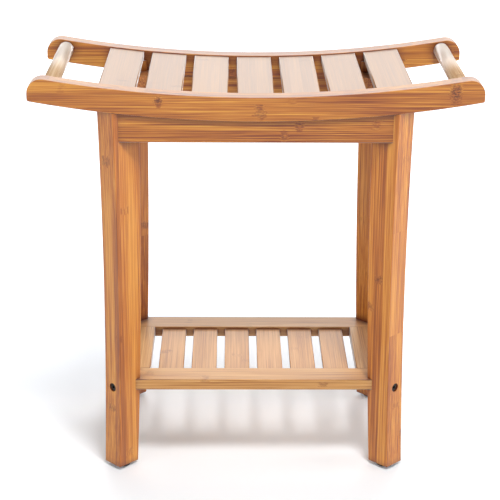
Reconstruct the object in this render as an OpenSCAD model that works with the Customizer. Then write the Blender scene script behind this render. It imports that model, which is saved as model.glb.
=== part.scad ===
// Bamboo shower stool: a saddle-curved slatted seat with two bar handles, four bowed legs
// turned forty-five degrees to the seat, and a slatted storage shelf between the legs.
// Frame: X along the stool, Y from front to back, Z up, origin on the floor under its middle.

/* [Seat] */
// Overall length of the two curved seat rails
seat_length = 500; // [440:5:620]
// Overall depth over the outer faces of the two seat rails
seat_depth = 230; // [200:5:320]
// Height of the rail tops above the floor at the middle of the stool
seat_height = 452; // [380:5:560]
// Radius of the dished top edge of the rails
seat_radius = 1390; // [1150:10:2400]
// Height of a seat rail, measured square to its curve
rail_height = 27; // [24:1:38]
// Thickness of a seat rail
rail_thickness = 22; // [20:1:30]
// Radius of the rounded top corner at each end of a rail
rail_corner_radius = 16; // [6:1:22]

/* [Seat slats] */
// Number of seat slats
slat_count = 7; // [5:2:7]
// Width of a seat slat
slat_width = 41; // [34:1:46]
// Gap between two seat slats
slat_gap = 10; // [6:1:14]
// Thickness of a seat slat
slat_thickness = 10; // [9:1:12]
// How far the slat tops lie below the rail tops
slat_drop = 1.5; // [0.5:0.5:3]
// Length of the tenon at each end of a seat slat
slat_tenon_length = 8; // [5:1:10]
// Thickness of that tenon
slat_tenon_thickness = 6; // [4:1:7]
// Shoulder left on each side of that tenon
slat_tenon_shoulder = 3; // [2:1:6]

/* [Handles] */
// Diameter of a handle bar
handle_diameter = 18; // [14:1:20]
// Distance from the end of a rail to the middle of a handle bar
handle_inset = 23; // [18:1:30]
// Depth of the middle of a handle bar below the top of the rail
handle_drop = 11; // [10:0.5:13]
// How deep a handle bar is glued into each rail
handle_socket = 12; // [8:1:16]

/* [Aprons] */
// Thickness of an apron board
apron_thickness = 15; // [12:1:20]
// How far the aprons stand back from the outer face of the rails and legs
apron_setback = 4; // [2:0.5:6]
// Height of the visible apron under the middle of a rail
apron_height = 25; // [20:0.5:50]
// Thickness of a corner block
block_thickness = 20; // [16:1:26]
// Height of a corner block
block_height = 32; // [26:1:34]

/* [Legs] */
// Thickness of a leg, across the forty-five degree turned board
leg_thickness = 26.5; // [24:0.5:32]
// Depth of a leg board at the foot
leg_foot_depth = 29; // [26:1:36]
// Depth of a leg board at the top
leg_top_depth = 39.5; // [34:0.5:44]
// How far the bowed faces of a leg stand off a straight line
leg_bow = 4.6; // [1:0.2:8]
// Distance from the end of the stool to the middle of a leg's outer face, along X
leg_end_inset = 83; // [70:1:110]
// Distance of that middle inside the outer face of the rails, along Y
leg_side_inset = 7; // [6:0.5:12]

/* [Shelf] */
// Height of the top of the shelf frame above the floor
shelf_height = 109; // [80:1:200]
// Thickness of the shelf frame
shelf_thickness = 13; // [13:1:18]
// Width of the boards of the shelf frame
shelf_frame_width = 34; // [30:1:44]
// How far the shelf frame laps past the inner corners of the legs
shelf_lap = 5; // [3:0.5:7]
// Number of shelf slats
shelf_slat_count = 6; // [4:1:8]
// Gap between two shelf slats
shelf_slat_gap = 9.5; // [6:0.5:14]
// Thickness of a shelf slat
shelf_slat_thickness = 7; // [5:1:8]
// How far the shelf slat tops lie below the top of the frame
shelf_slat_drop = 3; // [1:0.5:4]
// How deep a shelf slat is let into the frame
shelf_slat_socket = 8; // [5:1:12]
// Wood left between the leg and the stub tenon at each end of a side board of the frame
shelf_tenon_wall = 3; // [2:0.5:4]
// Width of that stub tenon
shelf_tenon_width = 12; // [10:1:13]
// Thickness of that stub tenon
shelf_tenon_thickness = 6; // [4:1:8]

/* [Fixings] */
// Diameter of the machine bolts
bolt_diameter = 6; // [5:1:6]
// Diameter of a bolt head
bolt_head_diameter = 9.5; // [8.5:0.5:10]
// Height of a bolt head
bolt_head_height = 4; // [3:0.5:5]
// Depth of a bolt head below the outer face of the leg
bolt_head_recess = 1.5; // [0.5:0.5:3]
// Size of the hexagon socket in a bolt head, across its corners
bolt_socket = 4.6; // [3:0.2:5]
// Diameter of a threaded insert
insert_diameter = 9; // [8:0.5:9]
// Length of a threaded insert
insert_length = 15; // [12:1:16]
// Diameter of a washer
washer_diameter = 16; // [13:1:18]
// Thickness of a washer
washer_thickness = 1.2; // [0.8:0.2:2]
// Diameter of the wooden dowel pins
pin_diameter = 8; // [6:1:8]
// How deep a dowel pin goes into each of the two pieces that it joins
pin_depth = 13; // [10:1:14]
// Distance of an apron's dowel pins from the middle of the stool
apron_pin_x = 62; // [40:1:80]
// Diameter of the shank of a corner block screw
screw_diameter = 4; // [3:0.5:4.5]
// Length of a corner block screw under its head
screw_length = 18; // [14:1:18]
// Clearance all round a bolt or a head in its hole
bolt_clearance = 0.5; // [0.3:0.1:0.8]

/* [Feet] */
// Diameter of a rubber foot pad
pad_diameter = 20; // [16:1:24]
// Thickness of a rubber foot pad
pad_thickness = 4; // [3.5:0.5:8]
// Length of the nail that holds a foot pad
nail_length = 20; // [16:1:30]

/* [Hidden] */

$fn = 48;
big_fn = 720;      // segments of the long shallow arcs
over = 1;          // how far a cutting tool runs past the face it cuts
relief = 1;        // empty space left at the bottom of a socket
corner_ease = 0.2; // how far the corner arc of a rail stands off true tangency
insert_sink = 0.5; // how far an insert is sunk below the face that it is screwed into
reach = 800;       // a length greater than the stool

// Seat curve: both rail edges are arcs about one axis, parallel to Y, above the stool
curve_z = seat_height + seat_radius;
rail_low_radius = seat_radius + rail_height;
slat_radius = seat_radius + slat_drop;
rail_outer_y = seat_depth / 2;
rail_inner_y = rail_outer_y - rail_thickness;
slat_pitch = slat_width + slat_gap;
slat_low_z = seat_height - slat_drop - slat_thickness;
handle_x = seat_length / 2 - handle_inset;
handle_z = on_arc(seat_radius + handle_drop, handle_x);

// Legs: the outer face of each leg is centred on (leg_x, leg_y) at the foot
leg_x = seat_length / 2 - leg_end_inset;
leg_y = rail_outer_y - leg_side_inset;
leg_low_z = pad_thickness;
leg_high_z = on_arc(slat_radius, leg_x);
half_turn = leg_thickness / sqrt(2);     // half a leg's thickness, as seen along X or Y

// Aprons
apron_outer_y = rail_outer_y - apron_setback;
apron_inner_y = apron_outer_y - apron_thickness;
apron_outer_x = leg_x + half_turn / 2 - apron_setback;
apron_inner_x = apron_outer_x - apron_thickness;
apron_low_z = seat_height - rail_height - apron_height;
block_low_z = apron_low_z + 2;
leg_bolt_z = block_low_z + block_height / 2;

// Shelf frame: it laps past the inner corners of the legs by shelf_lap
shelf_low_z = shelf_height - shelf_thickness;
shelf_mid_z = shelf_height - shelf_thickness / 2;
shelf_leg_in = leg_inner(shelf_mid_z) / sqrt(2);
shelf_outer_y = leg_y + half_turn / 2 + shelf_leg_in + shelf_lap;
shelf_outer_x = leg_x + half_turn / 2 + shelf_leg_in + shelf_lap;
shelf_inner_y = shelf_outer_y - shelf_frame_width;
shelf_inner_x = shelf_outer_x - shelf_frame_width;
shelf_slat_width = (2 * shelf_inner_x - (shelf_slat_count + 1) * shelf_slat_gap) / shelf_slat_count;
shelf_slat_low_z = shelf_height - shelf_slat_drop - shelf_slat_thickness;
shelf_tenon_length = shelf_frame_width - shelf_lap - half_turn - shelf_tenon_wall - relief;
shelf_tenon_x = shelf_outer_x - shelf_tenon_wall - shelf_tenon_width / 2;

// Bolts: the length under the head, and the height of the head's seat in the leg
seat_recess = bolt_head_recess + bolt_head_height;
shelf_bolt_length = leg_outer(shelf_mid_z) - seat_recess - leg_inner(shelf_mid_z) + insert_length - relief;
leg_bolt_length = washer_thickness + block_thickness + insert_length - relief;
screw_head_diameter = 7;
screw_head_height = 2.5;
screw_inset = 8;                          // a block screw's head seat, inside the apron's face
nail_diameter = 2.5;
nail_head_diameter = 7;
nail_head_height = 1.2;
nail_recess = 2;

// Height, at distance x from the middle, of an arc of radius r about the seat's axis
function on_arc(r, x) = curve_z - sqrt(r * r - x * x);

// A leg's bowed edges in its own upright plane: a chord from the foot to the top, in_foot and
// in_top inside the outer face, and the radius and centre of the arc that bows in from it
function bow_chord(in_foot, in_top) = norm([in_top - in_foot, leg_high_z - leg_low_z]);
function bow_radius(in_foot, in_top) =
    (pow(bow_chord(in_foot, in_top) / 2, 2) + leg_bow * leg_bow) / (2 * leg_bow);
function bow_centre(in_foot, in_top) =
    [-(in_foot + in_top) / 2, (leg_low_z + leg_high_z) / 2]
    + [leg_high_z - leg_low_z, in_top - in_foot] / bow_chord(in_foot, in_top)
      * (bow_radius(in_foot, in_top) - leg_bow);
function bow_at(in_foot, in_top, z) =
    bow_centre(in_foot, in_top)[0]
    - sqrt(pow(bow_radius(in_foot, in_top), 2) - pow(z - bow_centre(in_foot, in_top)[1], 2));
function leg_outer(z) = bow_at(0, 0, z);
function leg_inner(z) = bow_at(leg_foot_depth, leg_top_depth, z);

// Puts a shape made for the middle of the seat at distance x along the seat's curve
module along_curve(x) {
    translate([0, 0, curve_z])
        rotate([0, -asin(x / slat_radius), 0])
            translate([0, 0, -curve_z]) children();
}

// Puts a shape at the leg of corner [sx, sy], with +X pointing outwards along the diagonal
module at_leg(corner) {
    translate([corner[0] * leg_x, corner[1] * leg_y, 0])
        rotate([0, 0, atan2(corner[1], corner[0])]) children();
}

// The same, at all four legs
module at_every_leg() {
    for (sx = [-1, 1], sy = [-1, 1]) at_leg([sx, sy]) children();
}

// A rod along +X from x, at height z
module rod(x, z, length, diameter) {
    translate([x, 0, z]) rotate([0, 90, 0]) cylinder(h = length, d = diameter);
}

// ---------------------------------------------------------------- seat

// Side outline of a seat rail: two arcs, upright ends, and a rounded corner on each horn
module rail_outline() {
    // The corner arc crosses the two edges at a slight angle, as a sanded corner does
    corner_x = seat_length / 2 - rail_corner_radius + corner_ease;
    corner_z = on_arc(seat_radius + rail_corner_radius - corner_ease, corner_x);
    lean = [-corner_x, curve_z - corner_z] / (seat_radius + rail_corner_radius - corner_ease);
    difference() {
        intersection() {
            translate([0, curve_z]) circle(r = rail_low_radius, $fn = big_fn);
            translate([-seat_length / 2, 0]) square([seat_length, seat_height + seat_length / 4]);
        }
        translate([0, curve_z]) circle(r = seat_radius, $fn = big_fn);
        for (side = [-1, 1]) scale([side, 1]) difference() {
            polygon([[corner_x, corner_z],
                     [corner_x + 2 * rail_corner_radius, corner_z],
                     [corner_x + 2 * rail_corner_radius, corner_z + 2 * rail_corner_radius],
                     [corner_x, corner_z] + 2 * rail_corner_radius * lean]);
            translate([corner_x, corner_z]) circle(r = rail_corner_radius);
        }
    }
}

module slat_tenons(extra) {
    half = rail_inner_y + slat_tenon_length + extra;
    translate([-slat_width / 2 + slat_tenon_shoulder, -half,
               slat_low_z + (slat_thickness - slat_tenon_thickness) / 2])
        cube([slat_width - 2 * slat_tenon_shoulder, 2 * half, slat_tenon_thickness]);
}

// A seat rail; side is -1 for the front one and 1 for the back one
module seat_rail(side) {
    color("peru") difference() {
        translate([0, side * (rail_outer_y + rail_inner_y) / 2, 0])
            rotate([90, 0, 0])
                translate([0, 0, -rail_thickness / 2])
                    linear_extrude(rail_thickness) rail_outline();
        for (i = [1 : slat_count]) along_curve(slat_x(i)) slat_tenons(relief);
        for (sx = [-1, 1]) translate([sx * handle_x, 0, handle_z])
            rotate([90, 0, 0])
                cylinder(h = 2 * (rail_inner_y + handle_socket + relief), d = handle_diameter, center = true);
        dowel_pin_set(relief);
    }
}

function slat_x(i) = (i - (slat_count + 1) / 2) * slat_pitch;

// Seat slat number i, counted from the left
module seat_slat(i) {
    color("wheat") along_curve(slat_x(i)) {
        translate([-slat_width / 2, -rail_inner_y, slat_low_z])
            cube([slat_width, 2 * rail_inner_y, slat_thickness]);
        slat_tenons(0);
    }
}

module handle_bar(side) {
    color("burlywood") translate([side * handle_x, 0, handle_z])
        rotate([90, 0, 0])
            cylinder(h = 2 * (rail_inner_y + handle_socket), d = handle_diameter, center = true);
}

// ---------------------------------------------------------------- aprons and corner blocks

// The length of an apron at each of its faces follows the turned side face of the leg
function long_apron_half(y) = leg_x - leg_y + y - half_turn;
function side_apron_half(x) = leg_y - leg_x + x - half_turn;

// Everything above the underside of the rails, and above the slats over the legs
module seat_space() {
    for (side = [-1, 1]) translate([0, side * (rail_inner_y + reach / 2), 0])
        rotate([90, 0, 0])
            cylinder_arc(rail_low_radius, reach);
    for (i = [1, slat_count]) along_curve(slat_x(i))
        translate([-reach / 8, -rail_inner_y, slat_low_z])
            cube([reach / 4, 2 * rail_inner_y, reach / 4]);
}

// A disc about the seat's axis, laid in the plane of the rail outline
module cylinder_arc(radius, width) {
    translate([0, curve_z, -width / 2]) cylinder(r = radius, h = width, $fn = big_fn);
}

module long_apron(side) {
    outer = long_apron_half(apron_outer_y);
    inner = long_apron_half(apron_inner_y);
    color("peru") difference() {
        translate([0, 0, apron_low_z])
            linear_extrude(rail_height + apron_height)
                polygon([[-outer, side * apron_outer_y], [outer, side * apron_outer_y],
                         [inner, side * apron_inner_y], [-inner, side * apron_inner_y]]);
        translate([0, side * apron_outer_y, 0]) rotate([90, 0, 0])
            cylinder_arc(rail_low_radius, 4 * apron_thickness);
        dowel_pin_set(relief);
        block_screw_set(relief);
    }
}

module side_apron(side) {
    outer = side_apron_half(apron_outer_x);
    inner = side_apron_half(apron_inner_x);
    color("peru") difference() {
        translate([0, 0, apron_low_z])
            linear_extrude(leg_high_z - apron_low_z)
                polygon([[side * apron_outer_x, -outer], [side * apron_outer_x, outer],
                         [side * apron_inner_x, inner], [side * apron_inner_x, -inner]]);
        seat_space();
        block_screw_set(relief);
    }
}

// How far apart, summed over X and Y, a corner block's two long faces lie from the middle
block_outer_sum = leg_x + leg_y + sqrt(2) * leg_inner(leg_bolt_z);
block_inner_sum = block_outer_sum - sqrt(2) * block_thickness;

// A corner block: a board across the corner, flat on the inner face of the leg
module corner_block(corner) {
    fit = 2;
    color("tan") difference() {
        scale([corner[0], corner[1], 1]) translate([0, 0, block_low_z])
            linear_extrude(block_height)
                polygon([[apron_inner_x, block_outer_sum + fit - apron_inner_x],
                         [block_outer_sum + fit - apron_inner_y, apron_inner_y],
                         [block_inner_sum - apron_inner_y, apron_inner_y],
                         [apron_inner_x, block_inner_sum - apron_inner_x]]);
        seat_space();
        at_leg(corner) leg_blank();
        at_leg(corner) rod(leg_inner(leg_bolt_z) - block_thickness - over, leg_bolt_z,
                           block_thickness + 3 * over, bolt_diameter + 2 * bolt_clearance);
        block_screw_set(0);
        block_screw_pockets();
    }
}

// The two screws of the block of corner [sx, sy]: one into the long apron, one into the side apron
module at_block_screws() {
    for (sx = [-1, 1], sy = [-1, 1]) {
        translate([sx * (block_inner_sum - apron_inner_y + 11), sy * (apron_inner_y - screw_inset), leg_bolt_z])
            rotate([-sy * 90, 0, 0]) children();
        translate([sx * (apron_inner_x - screw_inset), sy * (block_inner_sum - apron_inner_x + 11), leg_bolt_z])
            rotate([0, sx * 90, 0]) children();
    }
}

module block_screw_set(extra) {
    at_block_screws() cylinder(h = screw_length + extra, d = screw_diameter);
}

module block_screw_pockets() {
    at_block_screws() translate([0, 0, -4 * screw_inset])
        cylinder(h = 4 * screw_inset, d = screw_head_diameter + 2 * bolt_clearance);
}

// ---------------------------------------------------------------- legs

// Side outline of a leg in its own upright plane, bowed in on both edges
module leg_outline() {
    difference() {
        intersection() {
            translate(bow_centre(leg_foot_depth, leg_top_depth))
                circle(r = bow_radius(leg_foot_depth, leg_top_depth), $fn = big_fn);
            translate([-2 * leg_top_depth, leg_low_z])
                square([3 * leg_top_depth, leg_high_z - leg_low_z]);
        }
        translate(bow_centre(0, 0)) circle(r = bow_radius(0, 0), $fn = big_fn);
    }
}

// A leg before its top is cut and its holes are drilled
module leg_blank() {
    rotate([90, 0, 0]) translate([0, 0, -leg_thickness / 2])
        linear_extrude(leg_thickness) leg_outline();
}

// Middle of the foot, measured along the diagonal from the outer face
pad_u = leg_outer(leg_low_z) - leg_foot_depth / 2;

module leg(corner) {
    color("peru") difference() {
        at_leg(corner) difference() {
            leg_blank();
            rod(leg_outer(shelf_mid_z) - seat_recess, shelf_mid_z, reach,
                bolt_head_diameter + 2 * bolt_clearance);
            rod(leg_inner(shelf_mid_z) - 4 * over, shelf_mid_z, 2 * leg_top_depth,
                bolt_diameter + 2 * bolt_clearance);
            rod(leg_inner(leg_bolt_z) - 4 * over, leg_bolt_z, insert_length + 4 * over + relief,
                insert_diameter);
            translate([pad_u, 0, 0]) cylinder(h = nail_recess + nail_length, d = nail_diameter);
        }
        seat_space();
        dowel_pin_set(relief);
    }
}

// ---------------------------------------------------------------- shelf

function shelf_slat_x(i) =
    (i - (shelf_slat_count + 1) / 2) * (shelf_slat_width + shelf_slat_gap);

module shelf_slat_solid(i, extra) {
    half = shelf_inner_y + shelf_slat_socket + extra;
    translate([shelf_slat_x(i) - shelf_slat_width / 2, -half, shelf_slat_low_z])
        cube([shelf_slat_width, 2 * half, shelf_slat_thickness]);
}

module shelf_slat(i) {
    color("wheat") shelf_slat_solid(i, 0);
}

module shelf_tenons(side, extra) {
    half = shelf_inner_y + shelf_tenon_length + extra;
    translate([side * shelf_tenon_x - shelf_tenon_width / 2, -half,
               shelf_mid_z - shelf_tenon_thickness / 2])
        cube([shelf_tenon_width, 2 * half, shelf_tenon_thickness]);
}

// A long board of the shelf frame, coped round two legs
module shelf_long_board(side) {
    color("peru") difference() {
        translate([-shelf_outer_x, side > 0 ? shelf_inner_y : -shelf_outer_y, shelf_low_z])
            cube([2 * shelf_outer_x, shelf_frame_width, shelf_thickness]);
        for (sx = [-1, 1]) {
            at_leg([sx, side]) {
                leg_blank();
                translate([leg_inner(shelf_mid_z) + shelf_lap * sqrt(2) / 2, -leg_thickness / 2, shelf_low_z - over])
                    cube([leg_top_depth, leg_thickness, shelf_thickness + 2 * over]);
                rod(leg_inner(shelf_mid_z) - insert_length - relief, shelf_mid_z,
                    insert_length + 2 * relief, insert_diameter);
            }
            shelf_tenons(sx, relief);
        }
        for (i = [1 : shelf_slat_count]) shelf_slat_solid(i, relief);
    }
}

module shelf_side_board(side) {
    color("peru") {
        translate([side > 0 ? shelf_inner_x : -shelf_outer_x, -shelf_inner_y, shelf_low_z])
            cube([shelf_frame_width, 2 * shelf_inner_y, shelf_thickness]);
        shelf_tenons(side, 0);
    }
}

// ---------------------------------------------------------------- feet

module foot_pad(corner) {
    color("black") at_leg(corner) translate([pad_u, 0, 0]) difference() {
        cylinder(h = pad_thickness, d = pad_diameter);
        translate([0, 0, -over]) cylinder(h = pad_thickness + 2 * over, d = nail_diameter);
        translate([0, 0, -over]) cylinder(h = nail_recess + over, d = nail_head_diameter);
    }
}

module foot_nails() {
    color("silver") at_every_leg() translate([pad_u, 0, nail_recess]) {
        translate([0, 0, -nail_head_height]) cylinder(h = nail_head_height, d = nail_head_diameter);
        cylinder(h = nail_length - relief, d = nail_diameter);
    }
}

// ---------------------------------------------------------------- fixings

// A socket-head bolt along -X, with the underside of its head at x = 0
module bolt(length) {
    difference() {
        union() {
            rod(-length, 0, length + over, bolt_diameter);
            rod(0, 0, bolt_head_height, bolt_head_diameter);
        }
        translate([bolt_head_height / 2, 0, 0]) rotate([0, 90, 0])
            cylinder(h = bolt_head_height, d = bolt_socket, $fn = 6);
    }
}

module insert() {
    difference() {
        rod(0, 0, insert_length, insert_diameter);
        rod(-over, 0, insert_length + 2 * over, bolt_diameter);
    }
}

module shelf_bolts() {
    color("dimgray") at_every_leg()
        translate([leg_outer(shelf_mid_z) - seat_recess, 0, shelf_mid_z]) bolt(shelf_bolt_length);
}

module shelf_inserts() {
    color("gold") at_every_leg()
        translate([leg_inner(shelf_mid_z) - insert_length - insert_sink, 0, shelf_mid_z]) insert();
}

// The bolts of the leg tops point outwards, through the corner block into the leg
module leg_bolts() {
    color("dimgray") at_every_leg()
        translate([leg_inner(leg_bolt_z) - block_thickness - washer_thickness, 0, leg_bolt_z])
            rotate([0, 0, 180]) bolt(leg_bolt_length);
}

module leg_washers() {
    color("silver") at_every_leg() difference() {
        rod(leg_inner(leg_bolt_z) - block_thickness - washer_thickness, leg_bolt_z,
            washer_thickness, washer_diameter);
        rod(leg_inner(leg_bolt_z) - block_thickness - washer_thickness - over, leg_bolt_z,
            washer_thickness + 2 * over, bolt_diameter + 2 * bolt_clearance);
    }
}

module leg_inserts() {
    color("gold") at_every_leg()
        translate([leg_inner(leg_bolt_z) + insert_sink, 0, leg_bolt_z]) insert();
}

// Eight dowel pins, upright between a rail and what it rests on: a leg or an apron
module dowel_pin_set(extra) {
    pin_y = (rail_inner_y + rail_outer_y) / 2;
    leg_pin_x = leg_x - leg_y + pin_y;
    for (sx = [-1, 1], sy = [-1, 1], x = [leg_pin_x, apron_pin_x])
        translate([sx * x, sy * pin_y, on_arc(rail_low_radius, x) - pin_depth - extra])
            cylinder(h = 2 * (pin_depth + extra), d = pin_diameter);
}

module dowel_pins() {
    color("burlywood") dowel_pin_set(0);
}

module block_screws() {
    color("silver") {
        block_screw_set(0);
        at_block_screws() translate([0, 0, -screw_head_height])
            cylinder(h = screw_head_height, d = screw_head_diameter);
    }
}

// ---------------------------------------------------------------- the assembly

seat_rail(-1);  // front_seat_rail
seat_rail(1);  // back_seat_rail
for (i = [1 : slat_count]) seat_slat(i);
handle_bar(-1);  // left_handle_bar
handle_bar(1);  // right_handle_bar
long_apron(-1);  // front_apron
long_apron(1);  // back_apron
side_apron(-1);  // left_apron
side_apron(1);  // right_apron
corner_block([-1, -1]);  // front_left_corner_block
corner_block([1, -1]);  // front_right_corner_block
corner_block([-1, 1]);  // back_left_corner_block
corner_block([1, 1]);  // back_right_corner_block
leg([-1, -1]);  // front_left_leg
leg([1, -1]);  // front_right_leg
leg([-1, 1]);  // back_left_leg
leg([1, 1]);  // back_right_leg
shelf_long_board(-1);  // shelf_front_board
shelf_long_board(1);  // shelf_back_board
shelf_side_board(-1);  // shelf_left_board
shelf_side_board(1);  // shelf_right_board
for (i = [1 : shelf_slat_count]) shelf_slat(i);
foot_pad([-1, -1]);  // front_left_foot_pad
foot_pad([1, -1]);  // front_right_foot_pad
foot_pad([-1, 1]);  // back_left_foot_pad
foot_pad([1, 1]);  // back_right_foot_pad
foot_nails();
shelf_bolts();
shelf_inserts();
leg_bolts();
leg_washers();
leg_inserts();
dowel_pins();
block_screws();
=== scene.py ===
import math
import random

import bmesh
import bpy
from mathutils import Matrix, Vector


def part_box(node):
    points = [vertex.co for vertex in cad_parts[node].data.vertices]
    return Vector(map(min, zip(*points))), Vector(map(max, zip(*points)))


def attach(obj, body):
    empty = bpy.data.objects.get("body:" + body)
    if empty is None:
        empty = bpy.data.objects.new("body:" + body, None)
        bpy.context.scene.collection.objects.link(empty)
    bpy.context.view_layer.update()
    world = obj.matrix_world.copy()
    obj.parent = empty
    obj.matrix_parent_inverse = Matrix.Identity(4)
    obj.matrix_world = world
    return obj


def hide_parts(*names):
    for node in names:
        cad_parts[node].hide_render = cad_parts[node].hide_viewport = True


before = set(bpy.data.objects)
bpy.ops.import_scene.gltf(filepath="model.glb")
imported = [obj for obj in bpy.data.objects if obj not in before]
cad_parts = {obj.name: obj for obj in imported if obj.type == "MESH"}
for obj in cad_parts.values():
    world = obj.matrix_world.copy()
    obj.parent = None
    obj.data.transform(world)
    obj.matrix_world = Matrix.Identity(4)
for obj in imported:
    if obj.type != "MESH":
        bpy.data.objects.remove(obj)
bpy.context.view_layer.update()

# ------------------------------------------------------------------ the two seat rails
# Each rail is one board of laminated bamboo, pressed from strips set on edge and sawn to a saddle
# curve, so its straight grain runs out through the curved edges. The horns are rounded at the
# top, every arris is eased on a router and sanded, and the slats and bars are let in behind.
MM = 0.001
HAIR = 0.01 * MM            # closer than this, two points are one
seat_radius = 1390 * MM     # of the dished top edge
rail_height = 27 * MM
rail_arris = 0.8 * MM
horn_radius = 16 * MM
horn_tip = 2.2 * MM         # rounding of the sharp lower corner of a horn
rail_low_radius = seat_radius + rail_height
seat_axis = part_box("front_seat_rail")[0].z + rail_low_radius


def height_on_arc(radius, x):
    """Height at distance x from the middle of an arc about the seat's axis."""
    return seat_axis - math.sqrt(radius**2 - x**2)


def trace_arc(bm, vert, centre, degrees, steps):
    """Sweeps a vertex along an arc about a line parallel to Y, and gives the arc's last vertex."""
    swept = bmesh.ops.spin(bm, geom=[vert], cent=(centre[0], vert.co.y, centre[1]), axis=(0, 1, 0),
                           angle=math.radians(degrees), steps=steps, use_duplicate=False)
    return [part for part in swept["geom_last"] if isinstance(part, bmesh.types.BMVert)][0]


def mirrored_face(bm):
    """Mirrors half an outline about the middle of the stool, and fills it with one face."""
    bmesh.ops.mirror(bm, geom=bm.verts[:] + bm.edges[:], matrix=Matrix.Identity(4), axis="X",
                     merge_dist=HAIR)
    bmesh.ops.remove_doubles(bm, verts=bm.verts[:], dist=HAIR)
    return bmesh.ops.contextual_create(bm, geom=bm.edges[:])["faces"]


def push(bm, faces, vector):
    """Extrudes faces by a vector and gives the faces that it moved. A face that would be left
    behind inside the solid is taken out."""
    pushed = bmesh.ops.extrude_face_region(bm, geom=faces)["geom"]
    moved = [p for p in pushed if isinstance(p, bmesh.types.BMVert)]
    bmesh.ops.translate(bm, vec=vector, verts=moved)
    left_inside = [f for f in faces if any(len(e.link_faces) > 2 for e in f.edges)]
    bmesh.ops.delete(bm, geom=left_inside, context="FACES")
    return [p for p in pushed if isinstance(p, bmesh.types.BMFace)]


def span(edge, axis):
    """How far an edge reaches along x, y or z."""
    return abs(getattr(edge.verts[0].co, axis) - getattr(edge.verts[1].co, axis))


def ease(bm, edges, radius, segments=3):
    """Rounds edges over, as a router and sandpaper do."""
    made = bmesh.ops.bevel(bm, geom=edges, offset=radius, offset_type="OFFSET", affect="EDGES",
                           segments=segments, profile=0.5, material=-1, clamp_overlap=True)
    for face in made["faces"]:
        face.smooth = True


def board_start(node):
    """Where a board was cut from its blank: a random place of its own in the grain."""
    chance = random.Random(node)
    return Vector([chance.uniform(1, 9) for _ in range(3)])


def finish_piece(bm, node, material, along=(1, 0, 0), across=(0, 0, 1)):
    """Makes the piece that stands for a CAD node. Its grain attribute holds metres along the
    fibre, across the strips and through them, from the board's own start."""
    bmesh.ops.recalc_face_normals(bm, faces=bm.faces[:])
    along = Vector(along).normalized()
    across = Vector(across).normalized()
    grain = bm.verts.layers.float_vector.new("grain")
    for vert in bm.verts:
        place = Vector([vert.co.dot(along), vert.co.dot(across), vert.co.dot(along.cross(across))])
        vert[grain] = place + board_start(node)
    mesh = bpy.data.meshes.new(node + "_shaped")
    bm.to_mesh(mesh)
    bm.free()
    mesh.materials.append(material)
    piece = bpy.data.objects.new(mesh.name, mesh)
    bpy.context.scene.collection.objects.link(piece)
    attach(piece, "root")
    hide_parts(node)
    return piece


def linear(colour):
    """A colour given as sRGB hex, turned to the linear values that a shader takes."""
    parts = [int(colour[i : i + 2], 16) / 255 for i in (1, 3, 5)]
    return [p / 12.92 if p <= 0.04045 else ((p + 0.055) / 1.055) ** 2.4 for p in parts] + [1.0]


def add(tree, kind, settings=None, inputs=None):
    """Adds a shader node, sets its properties, and sets or links its inputs."""
    made = tree.nodes.new("ShaderNode" + kind)
    for key, value in (settings or {}).items():
        setattr(made, key, value)
    for key, value in (inputs or {}).items():
        if isinstance(value, bpy.types.NodeSocket):
            tree.links.new(value, made.inputs[key])
        else:
            made.inputs[key].default_value = value
    return made


def start_material(name):
    """A new material, with its node tree and its shader."""
    made = bpy.data.materials.new(name)
    made.use_nodes = True
    return made, made.node_tree, made.node_tree.nodes["Principled BSDF"]


def set_stops(ramp, *stops):
    """Sets the stops of a colour ramp, each a position and a colour."""
    elements = ramp.color_ramp.elements
    for position, colour in stops[1:-1]:
        elements.new(position).color = colour
    elements[0].position, elements[0].color = stops[0]
    elements[-1].position, elements[-1].color = stops[-1]


knuckle_spacing = 300 * MM   # between the joints of a cane
knuckle_start = 1.5 * MM     # half the width of a knuckle's dark middle
knuckle_end = 6.5 * MM       # half its whole width
fibre_share = 2.7            # how much of a point's tone its fibre makes
cloud_share = 0.6            # and how much the slow change along the strip


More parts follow.
